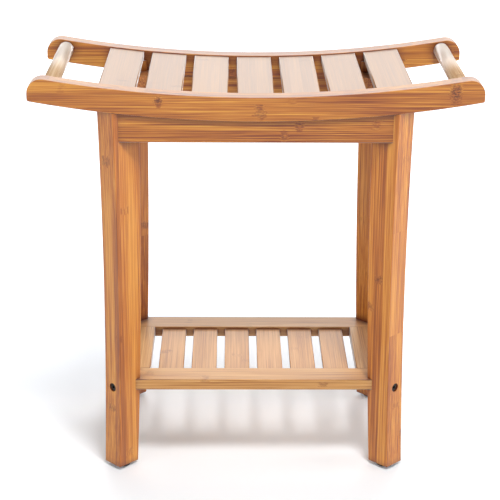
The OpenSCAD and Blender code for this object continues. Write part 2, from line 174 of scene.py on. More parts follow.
def bamboo(name, tones, strip, layer, spread, knuckle, rough, sheen=0.3, shade_reach=13 * MM, turn=None,
           knots=()):
    """Laminated bamboo, sanded and oiled. It gives the eye straight strips of different honey
    tones, fine dark fibres along them, and where the cane had a joint, a brown knuckle of broken
    fibres across a strip, all under a satin sheen.

    Strip and layer are a strip's width and thickness, spread is how much the strips' tones
    differ, knuckle is the strength of the darkest knuckles, and soak is how far from an inside
    corner the colour is darkened with painted shade, drawn by ambient occlusion. Turn is for a
    piece without a grain attribute. Knots are knuckles at places of their own: the board, the
    place along and across it, how long and how high it is, all in millimetres, and its strength."""
    made, tree, shader = start_material(name)
    if turn is None:
        grain = add(tree, "Attribute", {"attribute_name": "grain"}).outputs["Vector"]
    else:
        place = add(tree, "TexCoord").outputs["Object"]
        grain = add(tree, "Mapping", inputs={"Vector": place, "Rotation": turn, "Location": (5, 5, 5)})
        grain = grain.outputs["Vector"]
    # One cell for each strip, 90 m long so that it never ends within a board: a random tone, and a
    # random start for its fibres and knuckles
    cells = add(tree, "VectorMath", {"operation": "DIVIDE"}, {0: grain, 1: (90, strip, layer)})
    cell = add(tree, "VectorMath", {"operation": "FLOOR"}, {0: cells.outputs[0]})
    dice = add(tree, "TexWhiteNoise", {"noise_dimensions": "3D"}, {"Vector": cell.outputs[0]})
    rolls = add(tree, "SeparateColor", inputs={"Color": dice.outputs["Color"]})
    # A knuckle every 300 mm or so along a strip, never quite straight across it: it strays by up
    # to 12 mm, over 7 mm of the strip's width
    axes = add(tree, "SeparateXYZ", inputs={"Vector": grain})
    wave = add(tree, "VectorMath", {"operation": "MULTIPLY"}, {0: grain, 1: (60, 150, 150)})
    wobble = add(tree, "TexNoise", inputs={"Vector": wave.outputs[0], "Scale": 1.0, "Detail": 1.0})
    bent = add(tree, "Math", {"operation": "MULTIPLY_ADD"},
               {0: wobble.outputs["Fac"], 1: 12 * MM, 2: axes.outputs["X"]})
    count = add(tree, "Math", {"operation": "MULTIPLY_ADD"},
                {0: bent.outputs[0], 1: 1 / knuckle_spacing, 2: rolls.outputs["Red"]})
    turnover = add(tree, "Math", {"operation": "FRACT"}, {0: count.outputs[0]})
    middle = add(tree, "Math", {"operation": "SUBTRACT"}, {0: turnover.outputs[0], 1: 0.5})
    far = add(tree, "Math", {"operation": "ABSOLUTE"}, {0: middle.outputs[0]})
    band = add(tree, "MapRange", {"interpolation_type": "SMOOTHSTEP"},
               {"Value": far.outputs[0], "From Min": knuckle_start / knuckle_spacing,
                "From Max": knuckle_end / knuckle_spacing, "To Min": 1.0, "To Max": 0.0})
    chance = add(tree, "MapRange", inputs={"Value": rolls.outputs["Green"], "From Min": 0.15,
                                           "From Max": 1.0, "To Min": 0.0, "To Max": knuckle})
    joint = add(tree, "Math", {"operation": "MULTIPLY"}, {0: band.outputs[0], 1: chance.outputs[0]})
    for node, along, across, long, high, strength in knots:
        centre = Vector((along, across, 0)) * MM + board_start(node)
        off = add(tree, "VectorMath", {"operation": "SUBTRACT"}, {0: grain, 1: centre})
        sized = add(tree, "VectorMath", {"operation": "MULTIPLY"},
                    {0: off.outputs[0], 1: (2 / (long * MM), 2 / (high * MM), 0)})
        away = add(tree, "VectorMath", {"operation": "LENGTH"}, {0: sized.outputs[0]})
        ragged = add(tree, "Math", {"operation": "MULTIPLY_ADD"},
                     {0: wobble.outputs["Fac"], 1: 0.8, 2: away.outputs["Value"]})
        patch = add(tree, "MapRange", {"interpolation_type": "SMOOTHSTEP"},
                    {"Value": ragged.outputs[0], "From Min": 0.5, "From Max": 1.4,
                     "To Min": strength, "To Max": 0.0})
        joint = add(tree, "Math", {"operation": "MAXIMUM"}, {0: joint.outputs[0], 1: patch.outputs[0]})
    # Fibre bundles are about 0.4 mm wide and are drawn 1.4 mm wide and 170 mm long, with finer
    # ones among them. They swirl by up to 6 mm at a knuckle, and none runs on from one strip to
    # the next
    stir = add(tree, "Math", {"operation": "MULTIPLY"}, {0: joint.outputs[0], 1: 6 * MM})
    swirl = add(tree, "VectorMath", {"operation": "SCALE"},
                {0: wobble.outputs["Color"], "Scale": stir.outputs[0]})
    apart = add(tree, "VectorMath", {"operation": "MULTIPLY_ADD"},
                {0: dice.outputs["Color"], 1: (7, 7, 7), 2: grain})
    curled = add(tree, "VectorMath", {"operation": "ADD"}, {0: apart.outputs[0], 1: swirl.outputs[0]})
    fine = add(tree, "VectorMath", {"operation": "MULTIPLY"}, {0: curled.outputs[0], 1: (6, 700, 700)})
    fibre = add(tree, "TexNoise", inputs={"Vector": fine.outputs[0], "Scale": 1.0, "Detail": 3.0,
                                          "Roughness": 0.8})
    # Slow change of tone along a strip, over about 140 mm
    slow = add(tree, "VectorMath", {"operation": "MULTIPLY"}, {0: apart.outputs[0], 1: (7, 70, 70)})
    cloud = add(tree, "TexNoise", inputs={"Vector": slow.outputs[0], "Scale": 1.0, "Detail": 1.5})
    # Flecks of broken fibre in a knuckle, 3 mm long and 1.6 mm wide
    chips = add(tree, "VectorMath", {"operation": "MULTIPLY"}, {0: grain, 1: (330, 620, 620)})
    fleck = add(tree, "TexNoise", inputs={"Vector": chips.outputs[0], "Scale": 1.0, "Detail": 2.0})
    # The tone of a point: its strip's own tone, the slow change, and the fibres
    tone = add(tree, "Math", {"operation": "MULTIPLY_ADD"},
               {0: rolls.outputs["Blue"], 1: spread, 2: 0.5 - (spread + cloud_share + fibre_share) / 2})
    tone = add(tree, "Math", {"operation": "MULTIPLY_ADD"},
               {0: cloud.outputs["Fac"], 1: cloud_share, 2: tone.outputs[0]})
    tone = add(tree, "Math", {"operation": "MULTIPLY_ADD"},
               {0: fibre.outputs["Fac"], 1: fibre_share, 2: tone.outputs[0]})
    ramp = add(tree, "ValToRGB", inputs={"Fac": tone.outputs[0]})
    set_stops(ramp, (0.05, linear(tones[0])), (0.5, linear(tones[1])), (0.95, linear(tones[2])))
    # A knuckle darkens its strip, and its flecks much more
    haze = add(tree, "Math", {"operation": "MULTIPLY"}, {0: joint.outputs[0], 1: 0.7})
    hazed = add(tree, "Mix", {"data_type": "RGBA"},
                {"Factor": haze.outputs[0], 6: ramp.outputs["Color"], 7: linear("#8a430f")})
    torn = add(tree, "MapRange", inputs={"Value": fleck.outputs["Fac"], "From Min": 0.42,
                                         "From Max": 0.56, "To Min": 0.0, "To Max": 1.0})
    depth = add(tree, "Math", {"operation": "MULTIPLY"}, {0: torn.outputs[0], 1: joint.outputs[0]})
    marked = add(tree, "Mix", {"data_type": "RGBA"},
                 {"Factor": depth.outputs[0], 6: hazed.outputs[2], 7: linear("#4f2006")})
    # Painted shade: the colour is darkened to a deep brown in inside corners and under edges, where
    #     shade falls, as ambient occlusion finds them from the pieces near by
    corner = add(tree, "AmbientOcclusion", {"samples": 12}, {"Distance": shade_reach})
    painted_corner_shade = add(tree, "MapRange", inputs={"Value": corner.outputs["AO"], "From Min": 0.5,
                                           "From Max": 0.98, "To Min": 0.9, "To Max": 0.0})
    # The base colour with that painted shade mixed in
    oiled = add(tree, "Mix", {"data_type": "RGBA"},
                {"Factor": painted_corner_shade.outputs[0], 6: marked.outputs[2], 7: linear("#5e2202")})
    tree.links.new(oiled.outputs[2], shader.inputs["Base Color"])
    dull = add(tree, "MapRange", inputs={"Value": fibre.outputs["Fac"], "From Min": 0.3,
                                         "From Max": 0.7, "To Min": rough - 0.05,
                                         "To Max": rough + 0.08})
    tree.links.new(dull.outputs[0], shader.inputs["Roughness"])
    grooves = add(tree, "Math", {"operation": "SUBTRACT"},
                  {0: fibre.outputs["Fac"], 1: depth.outputs[0]})
    bump = add(tree, "Bump", inputs={"Height": grooves.outputs[0], "Strength": 0.4,
                                     "Distance": 0.15 * MM})
    tree.links.new(bump.outputs["Normal"], shader.inputs["Normal"])
    shader.inputs["IOR"].default_value = 1.5
    shader.inputs["Coat Weight"].default_value = 0.2
    shader.inputs["Coat Roughness"].default_value = 0.3
    shader.inputs["Sheen Weight"].default_value = sheen
    shader.inputs["Sheen Roughness"].default_value = 0.4
    return made


rail_bamboo = bamboo("laminated bamboo, routed, sanded and oiled", ("#6f2b02", "#aa6417", "#cb9035"),
                     strip=13 * MM, layer=7 * MM, spread=0.36, knuckle=0.5, rough=0.42, sheen=0.45,
                     knots=(("front_seat_rail", -107, 447, 13, 20, 1.0),
                            ("front_seat_rail", 6, 432, 13, 20, 0.4),
                            ("front_seat_rail", 218.5, 456, 19, 34, 1.0),
                            ("front_apron", 48, 419, 14, 18, 0.5),
                            ("front_apron", 31.5, 407, 14, 18, 0.5)))

for node in ("front_seat_rail", "back_seat_rail"):
    low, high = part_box(node)
    lean = math.degrees(math.asin((high.x - horn_radius) / (seat_radius + horn_radius)))
    foot = math.degrees(math.asin(high.x / rail_low_radius))
    horn = (high.x - horn_radius, height_on_arc(seat_radius + horn_radius, high.x - horn_radius))
    bm = bmesh.new()
    crest = trace_arc(bm, bm.verts.new((0, low.y, seat_axis - seat_radius)), (0, seat_axis), -lean, 40)
    end = trace_arc(bm, crest, horn, 90 + lean, 10)
    tip = bm.verts.new((high.x, low.y, height_on_arc(rail_low_radius, high.x)))
    bm.edges.new((end, tip))
    trace_arc(bm, tip, (0, seat_axis), foot, 44)
    push(bm, mirrored_face(bm), (0, high.y - low.y, 0))
    tips = [e for e in bm.edges if all(abs(abs(v.co.x) - high.x) < HAIR
                                       and v.co.z < height_on_arc(rail_low_radius, high.x) + MM
                                       for v in e.verts)]
    ease(bm, tips, horn_tip)
    ease(bm, [e for e in bm.edges if span(e, "y") < HAIR], rail_arris, 4)
    finish_piece(bm, node, rail_bamboo)

# ------------------------------------------------------------------ the seven seat slats
# Flat boards of bamboo pressed from wide strips laid flat, paler than the frame. Each is planed,
# its long edges are rounded over, and a tenon on each end is glued in a mortise in the rail.
# They follow the saddle curve, so each lies at a slightly different tilt.
slat_width = 41 * MM
slat_thickness = 10 * MM
slat_pitch = 51 * MM
slat_arris = 1.0 * MM
slat_drop = 1.5 * MM
tenon_length = 8 * MM
tenon_shoulder = 2 * MM
slat_bamboo = bamboo("flat-pressed bamboo, planed, sanded and oiled", ("#8b5a29", "#9e6d3a", "#ae7e4a"),
                     strip=13.5 * MM, layer=5 * MM, spread=0.3, knuckle=0.35, rough=0.4, sheen=0.55,
                     shade_reach=3 * MM)
rail_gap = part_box("back_seat_rail")[0].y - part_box("front_seat_rail")[1].y


def blank(size, middle):
    """A square-sawn blank of a given size, to be cut and eased."""
    bm = bmesh.new()
    bmesh.ops.create_cube(bm, size=1.0)
    bmesh.ops.scale(bm, vec=size, verts=bm.verts[:])
    bmesh.ops.translate(bm, vec=middle, verts=bm.verts[:])
    return bm


for number in range(1, 8):
    tilt = math.asin((number - 4) * slat_pitch / (seat_radius + slat_drop))
    bm = blank((slat_width, rail_gap, slat_thickness), (0, 0, 0))
    for side in (-1, 1):
        ends = [f for f in bm.faces if f.normal.y * side > 0.9]
        bmesh.ops.inset_region(bm, faces=ends, thickness=tenon_shoulder)
        push(bm, ends, (0, side * tenon_length, 0))
    ease(bm, [e for e in bm.edges if span(e, "y") > rail_gap / 2], slat_arris, 4)
    middle_height = seat_axis - seat_radius - slat_drop - slat_thickness / 2
    bmesh.ops.translate(bm, vec=(0, 0, middle_height), verts=bm.verts[:])
    bmesh.ops.rotate(bm, cent=(0, 0, seat_axis), matrix=Matrix.Rotation(-tilt, 3, "Y"), verts=bm.verts[:])
    finish_piece(bm, f"seat_slat_{number}", slat_bamboo, (0, 1, 0),
                 (math.cos(tilt), 0, math.sin(tilt)))

# ------------------------------------------------------------------ the two handle bars
# Round bars turned from a laminated bamboo blank, each glued in a blind hole in both rails.
# Hands polish them, so they are a little smoother than the boards, and the wood is the palest.
bar_bamboo = bamboo("turned bamboo bar, sanded and oiled", ("#ad845c", "#be9d78", "#cfb492"),
                    strip=9 * MM, layer=9 * MM, spread=0.3, knuckle=0.3, rough=0.36, sheen=0.5,
                    shade_reach=3 * MM)

for node in ("left_handle_bar", "right_handle_bar"):
    low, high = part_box(node)
    bm = bmesh.new()
    bmesh.ops.create_circle(bm, cap_ends=True, segments=56, radius=(high.x - low.x) / 2)
    bmesh.ops.rotate(bm, cent=(0, 0, 0), matrix=Matrix.Rotation(math.radians(90), 3, "X"),
                     verts=bm.verts[:])
    bmesh.ops.translate(bm, vec=((low.x + high.x) / 2, low.y, (low.z + high.z) / 2),
                        verts=bm.verts[:])
    push(bm, bm.faces[:], (0, high.y - low.y, 0))
    for face in bm.faces:
        face.smooth = len(face.verts) == 4
    finish_piece(bm, node, bar_bamboo, (0, 1, 0), (0, 0, 1))

# ------------------------------------------------------------------ the four aprons
# Straight boards of laminated bamboo between the tops of the legs. The front and back ones are
# sawn along the top to fit under a rail, the side ones lie under the outer slats, and every end
# is cut at forty-five degrees to lie flat on the turned side of a leg.
apron_arris = 0.9 * MM
leg_thickness = 26.5 * MM
leg_across = leg_thickness / math.sqrt(2)   # half a leg's thickness, seen square to the stool
leg_x = 167 * MM                            # the middle of a leg's outer face at the foot
leg_y = 108 * MM
outer_tilt = math.asin(3 * slat_pitch / (seat_radius + slat_drop))
slat_low_radius = seat_radius + slat_drop + slat_thickness


def slice_off(bm, point, normal):
    """Saws off what lies beyond a plane, closes the cut, and gives its face."""
    cut = bmesh.ops.bisect_plane(bm, geom=bm.verts[:] + bm.edges[:] + bm.faces[:], dist=HAIR / 10,
                                 plane_co=point, plane_no=normal, clear_outer=True)["geom_cut"]
    edges = [part for part in cut if isinstance(part, bmesh.types.BMEdge) and part.is_boundary]
    return bmesh.ops.contextual_create(bm, geom=edges)["faces"]


def slice_under_seat(bm, radius, side, tilt):
    """Saws off what stands above the flat that touches an arc about the seat's axis, and gives
    the cut's face. Side is -1 or 1, and tilt is how far round the arc the flat lies."""
    down = Vector((side * math.sin(tilt), 0, -math.cos(tilt)))
    return slice_off(bm, Vector((0, 0, seat_axis)) + down * radius, -down)


def bottom_edges(bm, low_z, axis, shortest):
    """The edges of a board's underside that run along x or y."""
    return [e for e in bm.edges if all(v.co.z < low_z + 0.1 * MM for v in e.verts)
            and span(e, axis) > shortest]


for node in ("front_apron", "back_apron"):
    low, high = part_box(node)
    side = 1 if low.y > 0 else -1
    bm = bmesh.new()
    reach = math.degrees(math.asin(high.x / rail_low_radius))
    crest = bm.verts.new((0, low.y, seat_axis - rail_low_radius))
    end = trace_arc(bm, crest, (0, seat_axis), -reach, 24)
    corner = bm.verts.new((high.x, low.y, low.z))
    bm.edges.new((end, corner))
    bm.edges.new((corner, bm.verts.new((0, low.y, low.z))))
    push(bm, mirrored_face(bm), (0, high.y - low.y, 0))
    for end_side in (-1, 1):
        slice_off(bm, (end_side * (leg_x - leg_across), side * leg_y, 0), (end_side, -side, 0))
    ease(bm, bottom_edges(bm, low.z, "x", high.x / 2), apron_arris)
    finish_piece(bm, node, rail_bamboo)

for node in ("left_apron", "right_apron"):
    low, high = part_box(node)
    side = 1 if low.x > 0 else -1
    bm = blank((high.x - low.x, high.y - low.y, 2 * (high.z - low.z)),
               ((low.x + high.x) / 2, 0, high.z))
    for end_side in (-1, 1):
        slice_off(bm, (side * leg_x, end_side * (leg_y - leg_across), 0), (-side, end_side, 0))
    slice_under_seat(bm, slat_low_radius, side, outer_tilt)
    ease(bm, bottom_edges(bm, low.z, "y", high.y / 2), apron_arris)
    finish_piece(bm, node, rail_bamboo, (0, 1, 0))

# ------------------------------------------------------------------ the four corner blocks
# Short offcuts of laminated bamboo set across the corners behind the aprons. A bolt pulls each
# leg's top against its block, and two screws hold the block to the aprons. Their sawn shape is
# the CAD's own; only the finish is added, with the grain level and running across the corner.
def refinish(node, material):
    """Gives a CAD node a finish, and leaves its shape alone."""
    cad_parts[node].data.materials.clear()
    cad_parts[node].data.materials.append(material)


for quarter, corners in ((45, ("front_left", "back_right")), (-45, ("front_right", "back_left"))):
    block_bamboo = bamboo(f"sawn bamboo, oiled, grain at {quarter} degrees",
                          ("#7c3608", "#b46e28", "#cc8f4a"),
                          strip=13 * MM, layer=7 * MM, spread=0.36, knuckle=0.4, rough=0.5,
                          turn=(math.radians(90), 0, math.radians(quarter)))
    for corner in corners:
        refinish(corner + "_corner_block", block_bamboo)

# ------------------------------------------------------------------ the four legs
# Thick boards of laminated bamboo, turned forty-five degrees to the seat, so that one arris
# faces forwards. Both edges are sawn to a shallow inward bow and all four arrises are rounded. The
# top is notched under the rail, and a counterbore near the shelf takes a bolt's head.
leg_foot_depth = 29 * MM
leg_top_depth = 39.5 * MM
leg_bow = 4.6 * MM
leg_arris = 1.0 * MM
sole_arris = 0.6 * MM
leg_spare = 20 * MM         # left on the top until it is cut to fit
stub_spare = 30 * MM
counterbore = 10.5 * MM
counterbore_depth = 5.5 * MM
shelf_thickness = 13 * MM
leg_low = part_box("front_left_leg")[0].z
leg_high = height_on_arc(seat_radius + slat_drop, leg_x)
bolt_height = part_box("shelf_front_board")[0].z + shelf_thickness / 2
leg_bamboo = bamboo("laminated bamboo leg, sanded and oiled", ("#88410c", "#b96c1f", "#d6953c"),
                    strip=13 * MM, layer=12 * MM, spread=0.36, knuckle=0.55, rough=0.42, sheen=0.15)


def bow_arc(inset_low, inset_high):
    """Centre and radius of the arc that bows in from a leg's straight outer edge."""
    low_end = Vector((-inset_low, leg_low))
    high_end = Vector((-inset_high, leg_high))
    chord = high_end - low_end
    radius = ((chord.length / 2) ** 2 + leg_bow**2) / (2 * leg_bow)
    outward = Vector((chord.y, -chord.x)).normalized()
    return (low_end + high_end) / 2 + outward * (radius - leg_bow), radius


def bowed_edge(inset_low, inset_high, height):
    """Distance of a leg's bowed edge from its straight outer edge, at a height."""
    centre, radius = bow_arc(inset_low, inset_high)
    return centre.x - math.sqrt(radius**2 - (height - centre.y) ** 2)


def swept_edge(bm, inset_low, inset_high, top):
    """One bowed edge of the leg's outline, from the foot up to a height above the leg's top."""
    centre, radius = bow_arc(inset_low, inset_high)
    foot = bm.verts.new((bowed_edge(inset_low, inset_high, leg_low), -leg_thickness / 2, leg_low))
    swing = math.asin((top - centre.y) / radius) - math.asin((leg_low - centre.y) / radius)
    return foot, trace_arc(bm, foot, centre, math.degrees(swing), 40)


for corner in ("front_left", "front_right", "back_left", "back_right"):
    node = corner + "_leg"
    side_x = -1 if "left" in corner else 1
    side_y = -1 if "front" in corner else 1
    heading = math.atan2(side_y, side_x)
    bm = bmesh.new()
    outer_foot, outer_top = swept_edge(bm, 0, 0, leg_high + leg_spare)
    inner_foot, inner_top = swept_edge(bm, leg_foot_depth, leg_top_depth, leg_high + leg_spare)
    bm.edges.new((outer_foot, inner_foot))
    bm.edges.new((outer_top, inner_top))
    push(bm, bmesh.ops.contextual_create(bm, geom=bm.edges[:])["faces"], (0, leg_thickness, 0))
    arrises = [e for e in bm.edges if span(e, "y") < HAIR and span(e, "z") > MM]
    ease(bm, arrises, leg_arris, 4)
    soles = [e for e in bm.edges if all(v.co.z < leg_low + 0.1 * MM for v in e.verts)]
    ease(bm, soles, sole_arris, 2)

    # The counterbore: a ring let into the outer face, the face filled in round it, and the ring
    # pushed in
    window_half = 7 * MM
    for height in (bolt_height - window_half, bolt_height + window_half):
        bmesh.ops.bisect_plane(bm, geom=bm.verts[:] + bm.edges[:] + bm.faces[:], dist=HAIR / 10,
                               plane_co=(0, 0, height), plane_no=(0, 0, 1))
    window = [f for f in bm.faces if abs(f.calc_center_median().z - bolt_height) < window_half
              and abs(f.calc_center_median().y) < MM
              and f.calc_center_median().x > -leg_foot_depth / 2]
    bmesh.ops.delete(bm, geom=window, context="FACES")
    outline = [e for e in bm.edges if e.is_boundary]
    ring = bmesh.ops.create_circle(bm, segments=36, radius=counterbore / 2)["verts"]
    bmesh.ops.rotate(bm, cent=(0, 0, 0), matrix=Matrix.Rotation(math.radians(90), 3, "Y"), verts=ring)
    bmesh.ops.translate(bm, vec=(bowed_edge(0, 0, bolt_height), 0, bolt_height), verts=ring)
    ring_edges = list({e for v in ring for e in v.link_edges})
    bmesh.ops.triangle_fill(bm, use_beauty=True, edges=outline + ring_edges, normal=(1, 0, 0))
    wall = bmesh.ops.extrude_edge_only(bm, edges=ring_edges)["geom"]
    bmesh.ops.translate(bm, vec=(-counterbore_depth, 0, 0),
                        verts=[p for p in wall if isinstance(p, bmesh.types.BMVert)])
    bmesh.ops.contextual_create(bm, geom=[p for p in wall if isinstance(p, bmesh.types.BMEdge)
                                          and p.is_boundary])

    # Into its corner, then the top is cut along the rail, and a stub is left standing behind it
    bmesh.ops.rotate(bm, cent=(0, 0, 0), matrix=Matrix.Rotation(heading, 3, "Z"), verts=bm.verts[:])
    bmesh.ops.translate(bm, vec=(side_x * leg_x, side_y * leg_y, 0), verts=bm.verts[:])
    bmesh.ops.recalc_face_normals(bm, faces=bm.faces[:])
    top = slice_under_seat(bm, rail_low_radius, side_x, math.asin(leg_x / rail_low_radius))
    bmesh.ops.bisect_plane(bm, geom=top + list(top[0].edges) + list(top[0].verts), dist=HAIR / 10,
                           plane_co=(0, side_y * rail_gap / 2, 0), plane_no=(0, 1, 0))
    bm.normal_update()
    stub = [f for f in bm.faces if f.normal.z > 0.9
            and abs(f.calc_center_median().y) < rail_gap / 2
            and f.calc_center_median().z > leg_high / 2]
    push(bm, stub, (0, 0, stub_spare))
    slice_under_seat(bm, slat_low_radius, side_x, outer_tilt)
    finish_piece(bm, node, leg_bamboo, (0, 0, 1), (-side_y, side_x, 0))

# ------------------------------------------------------------------ the shelf frame
# Four boards of laminated bamboo. The long ones run through and are coped round the inner
# corners of the legs, the short ones are tenoned between them, and the joints are sanded flush. A
# bolt through each leg runs into a threaded insert in the end of a long board.
shelf_arris = 0.9 * MM
shelf_bamboo = bamboo("laminated bamboo shelf board, sanded and oiled",
                      ("#975d25", "#bf8948", "#d2a569"),
                      strip=13 * MM, layer=6.5 * MM, spread=0.4, knuckle=0.4, rough=0.42)
leg_corner = bowed_edge(leg_foot_depth, leg_top_depth, bolt_height)
leg_face_x = leg_x + leg_corner / math.sqrt(2)
leg_face_y = leg_y + leg_corner / math.sqrt(2)

for node in ("shelf_front_board", "shelf_back_board"):
    low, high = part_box(node)
    side = -1 if low.y < 0 else 1
    outer = low.y if side < 0 else high.y
    inner = high.y if side < 0 else low.y
    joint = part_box("shelf_right_board")[0].x
    near = Vector((leg_face_x - leg_across / 2, side * (leg_face_y + leg_across / 2)))
    far = Vector((leg_face_x + leg_across / 2, side * (leg_face_y - leg_across / 2)))
    lap = high.x - far.x
    bm = bmesh.new()
    half = [(0, outer), (near.x + abs(outer - near.y), outer), near, far,
            (high.x, far.y + side * lap), (high.x, inner), (joint, inner), (0, inner)]
    verts = [bm.verts.new((x, y, low.z)) for x, y in half]
    for first, second in zip(verts, verts[1:]):
        bm.edges.new((first, second))
    push(bm, mirrored_face(bm), (0, 0, high.z - low.z))
    eased = []
    for edge in bm.edges:
        a, b = edge.verts[0].co, edge.verts[1].co
        on_outer = max(abs(a.y - outer), abs(b.y - outer)) < HAIR
        on_inner = max(abs(a.y - inner), abs(b.y - inner)) < HAIR
        on_end = max(abs(abs(a.x) - high.x), abs(abs(b.x) - high.x)) < HAIR
        in_middle = max(abs(a.x), abs(b.x)) < joint + MM
        if span(edge, "z") < HAIR and (on_outer or on_end or (on_inner and in_middle)):
            eased.append(edge)
    ease(bm, eased, shelf_arris)
    finish_piece(bm, node, shelf_bamboo, (1, 0, 0), (0, 1, 0))

for node in ("shelf_left_board", "shelf_right_board"):
    low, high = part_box(node)
    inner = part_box("shelf_back_board")[0].y
    bm = blank((high.x - low.x, 2 * inner, high.z - low.z),
               ((low.x + high.x) / 2, 0, (low.z + high.z) / 2))
    ease(bm, [e for e in bm.edges if span(e, "y") > inner], shelf_arris)
    finish_piece(bm, node, shelf_bamboo, (0, 1, 0), (1, 0, 0))

# ------------------------------------------------------------------ the six shelf slats
# Thin flat-pressed slats, let into grooves in the long boards and glued, with their tops a few
# millimetres below the frame so that bottles don't slide off.
shelf_slat_arris = 0.8 * MM
shelf_slat_bamboo = bamboo("flat-pressed bamboo shelf slat, sanded and oiled",
                           ("#a0672f", "#bd8648", "#cf9c64"),
                           strip=13.5 * MM, layer=5 * MM, spread=0.3, knuckle=0.35, rough=0.4)

for number in range(1, 7):
    node = f"shelf_slat_{number}"
    low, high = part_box(node)
    bm = blank(high - low, (low + high) / 2)
    ease(bm, [e for e in bm.edges if span(e, "y") > high.y], shelf_slat_arris)
    finish_piece(bm, node, shelf_slat_bamboo, (0, 1, 0), (1, 0, 0))

# ------------------------------------------------------------------ the four foot pads
# Moulded black rubber discs that keep the stool from sliding on a wet floor. Each has a recess
# underneath for the head of the zinc-plated nail that holds it to the leg.
pad_arris = 0.7 * MM
nail_recess_radius = 3.5 * MM
nail_recess_depth = 2 * MM
pad_rubber, tree, shader = start_material("moulded black rubber")
# Dull and nearly black, with a faint grey dust and the fine grain of the mould, drawn 0.8 mm wide
place = add(tree, "TexCoord").outputs["Object"]
grit = add(tree, "TexNoise", inputs={"Vector": place, "Scale": 1250.0, "Detail": 2.0})
dust = add(tree, "TexNoise", inputs={"Vector": place, "Scale": 90.0, "Detail": 3.0})
shade = add(tree, "ValToRGB", inputs={"Fac": dust.outputs["Fac"]})
set_stops(shade, (0, linear("#121212")), (1, linear("#2c2a28")))
tree.links.new(shade.outputs["Color"], shader.inputs["Base Color"])
pebble = add(tree, "Bump", inputs={"Height": grit.outputs["Fac"], "Strength": 0.3,
                                   "Distance": 0.1 * MM})
tree.links.new(pebble.outputs["Normal"], shader.inputs["Normal"])
shader.inputs["Roughness"].default_value = 0.7
shader.inputs["IOR"].default_value = 1.52

for corner in ("front_left", "front_right", "back_left", "back_right"):
    node = corner + "_foot_pad"
    low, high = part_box(node)
    bm = bmesh.new()
    bmesh.ops.create_circle(bm, cap_ends=True, segments=40, radius=(high.x - low.x) / 2)
    bmesh.ops.translate(bm, vec=((low.x + high.x) / 2, (low.y + high.y) / 2, low.z),
                        verts=bm.verts[:])
    push(bm, bm.faces[:], (0, 0, high.z - low.z))
    bm.normal_update()
    under = [f for f in bm.faces if len(f.verts) > 4 and f.calc_center_median().z < low.z + 0.1 * MM]
    rims = [e for e in bm.edges if span(e, "z") < HAIR]
    bmesh.ops.inset_region(bm, faces=under, thickness=(high.x - low.x) / 2 - nail_recess_radius)
    push(bm, under, (0, 0, nail_recess_depth))
    ease(bm, rims, pad_arris)
    for face in bm.faces:
        face.smooth = face.smooth or abs(face.normal.z) < 0.5
    finish_piece(bm, node, pad_rubber)

# ------------------------------------------------------------------ the shelf bolts
# Four steel socket-head bolts with a black oxide finish, sunk in the legs' outer faces. Their
# plain round heads have a softened rim and a hexagon socket for a key.
head_radius = 4.75 * MM
head_height = 4 * MM
head_rim = 0.6 * MM
head_recess = 1.5 * MM
socket_radius = 2.3 * MM
socket_depth = 2 * MM
shank_radius = 3 * MM
shank_length = 42 * MM
black_oxide, tree, shader = start_material("steel with black oxide, oiled")
# A near-black metal with greyer rubbed patches, drawn 1 mm wide
place = add(tree, "TexCoord").outputs["Object"]
rub = add(tree, "TexNoise", inputs={"Vector": place, "Scale": 900.0, "Detail": 3.0})
tint = add(tree, "ValToRGB", inputs={"Fac": rub.outputs["Fac"]})
set_stops(tint, (0, linear("#1c1a19")), (1, linear("#5b5752")))
tree.links.new(tint.outputs["Color"], shader.inputs["Base Color"])
shader.inputs["Metallic"].default_value = 1.0
polish = add(tree, "MapRange", inputs={"Value": rub.outputs["Fac"], "To Min": 0.45, "To Max": 0.25})
tree.links.new(polish.outputs[0], shader.inputs["Roughness"])

bm = bmesh.new()
for side_x in (-1, 1):
    for side_y in (-1, 1):
        bolt = bmesh.new()
        bmesh.ops.create_circle(bolt, cap_ends=True, segments=36, radius=head_radius)
        rim = bolt.edges[:]
        shank = bolt.faces[:]
        push(bolt, shank, (0, 0, -head_height))
        bolt.normal_update()
        crown = [f for f in bolt.faces if len(f.verts) > 4 and f.calc_center_median().z > -MM]
        under = [f for f in bolt.faces if len(f.verts) > 4 and f not in crown]
        bmesh.ops.delete(bolt, geom=crown, context="FACES_ONLY")
        hexagon = bmesh.ops.create_circle(bolt, segments=6, radius=socket_radius)["verts"]
        socket = list({e for v in hexagon for e in v.link_edges})
        bmesh.ops.bridge_loops(bolt, edges=rim + socket)
        wall = bmesh.ops.extrude_edge_only(bolt, edges=socket)["geom"]
        bmesh.ops.translate(bolt, vec=(0, 0, -socket_depth),
                            verts=[p for p in wall if isinstance(p, bmesh.types.BMVert)])
        bmesh.ops.contextual_create(bolt, geom=[p for p in wall if isinstance(p, bmesh.types.BMEdge)
                                                and p.is_boundary])
        bmesh.ops.inset_region(bolt, faces=under, thickness=head_radius - shank_radius)
        push(bolt, under, (0, 0, -shank_length))
        ease(bolt, rim, head_rim)
        seat = bowed_edge(0, 0, bolt_height) - head_recess
        turn = Matrix.Rotation(math.atan2(side_y, side_x), 4, "Z") @ Matrix.Translation((seat, 0, 0))
        turn = Matrix.Translation((side_x * leg_x, side_y * leg_y, bolt_height)) @ turn
        bmesh.ops.transform(bolt, matrix=turn @ Matrix.Rotation(math.radians(90), 4, "Y"),
                            verts=bolt.verts[:])
        joined = bpy.data.meshes.new("bolt")
        bolt.to_mesh(joined)
        bolt.free()
        bm.from_mesh(joined)
        bpy.data.meshes.remove(joined)
finish_piece(bm, "shelf_bolts", black_oxide)

# ------------------------------------------------------------------ the hidden fixings
# Leg bolts with their washers and inserts, shelf inserts, block screws, foot nails and dowel pins
# keep the CAD's shapes and get the finish of the real ones: black oxide, zinc plate, brass, beech.
zinc_plate, tree, shader = start_material("steel with bright zinc plate")
